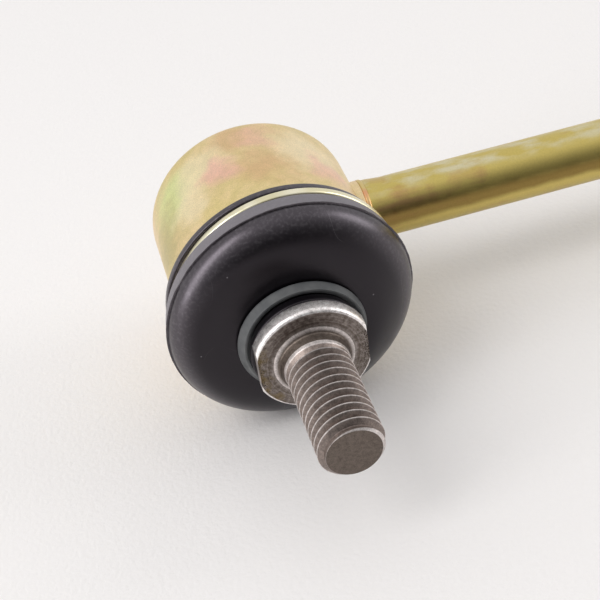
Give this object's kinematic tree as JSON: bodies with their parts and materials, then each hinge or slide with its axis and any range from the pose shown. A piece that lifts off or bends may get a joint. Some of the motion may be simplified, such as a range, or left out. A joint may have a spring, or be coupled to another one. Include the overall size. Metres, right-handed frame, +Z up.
{
  "type": "stabilizer link",
  "caption": "Rod-type stabilizer link: a straight plated rod welded to a ball joint at each end, with booted, flanged and threaded studs.",
  "frame": {"origin": "centre of the whole link's box: midway between the ball joints in X, midway between stud points and closed housing ends in Y, on the stud axes in Z", "axes": "+X along the rod from end a to end b, -Y the way both studs point, +Z up as the link lies on a surface"},
  "size_m": [0.2802, 0.0624, 0.0402],
  "materials": {
    "rod_plating": "olive-gold yellow chromate over zinc, drawn rod with fine streaks",
    "housing_plating": "iridescent yellow chromate over zinc, satin, gold with pink and green patches",
    "weld_plating": "yellow chromate over weld metal, orange tint",
    "spring_steel": "oiled spring steel",
    "seat_plastic": "natural moulded acetal",
    "boot_rubber": "moulded black rubber, satin with a bluish bloom",
    "clamp_plating": "bright pale yellow zinc",
    "neck_ring_plastic": "blue-grey moulded nylon",
    "stud_steel": "bare forged and rolled steel, lightly stained"
  },
  "bodies": {
    "link": {"link_rod": "rod_plating", "housing_a": "housing_plating", "rod_weld_a": "weld_plating", "preload_spring_a": "spring_steel", "closing_ring_a": "spring_steel", "snap_ring_a": "spring_steel", "boot_a": "boot_rubber", "boot_clamp_a": "clamp_plating", "housing_b": "housing_plating", "rod_weld_b": "weld_plating", "preload_spring_b": "spring_steel", "closing_ring_b": "spring_steel", "snap_ring_b": "spring_steel", "boot_b": "boot_rubber", "boot_clamp_b": "clamp_plating"},
    "seat_a": {"ball_seat_a": "seat_plastic"},
    "neck_a": {"neck_ring_a": "neck_ring_plastic"},
    "stud_a": {"ball_stud_a": "stud_steel"},
    "seat_b": {"ball_seat_b": "seat_plastic"},
    "neck_b": {"neck_ring_b": "neck_ring_plastic"},
    "stud_b": {"ball_stud_b": "stud_steel"}
  },
  "joints": [
    {"name": "swing_direction_a", "type": "hinge", "parent": "link", "child": "seat_a", "pos_m": [-0.12, 0.0206, 0], "axis": [0, -1, 0], "continuous": true},
    {"name": "stud_lean_a", "type": "hinge", "parent": "seat_a", "child": "neck_a", "pos_m": [-0.12, 0.0206, 0], "axis": [0, 0, 1], "range_deg": [-20, 20], "deforming": ["boot_a"]},
    {"name": "stud_spin_a", "type": "hinge", "parent": "neck_a", "child": "stud_a", "pos_m": [-0.12, 0.0206, 0], "axis": [0, -1, 0], "continuous": true},
    {"name": "swing_direction_b", "type": "hinge", "parent": "link", "child": "seat_b", "pos_m": [0.12, 0.0206, 0], "axis": [0, -1, 0], "continuous": true},
    {"name": "stud_lean_b", "type": "hinge", "parent": "seat_b", "child": "neck_b", "pos_m": [0.12, 0.0206, 0], "axis": [0, 0, 1], "range_deg": [-20, 20], "deforming": ["boot_b"]},
    {"name": "stud_spin_b", "type": "hinge", "parent": "neck_b", "child": "stud_b", "pos_m": [0.12, 0.0206, 0], "axis": [0, -1, 0], "continuous": true}
  ]
}
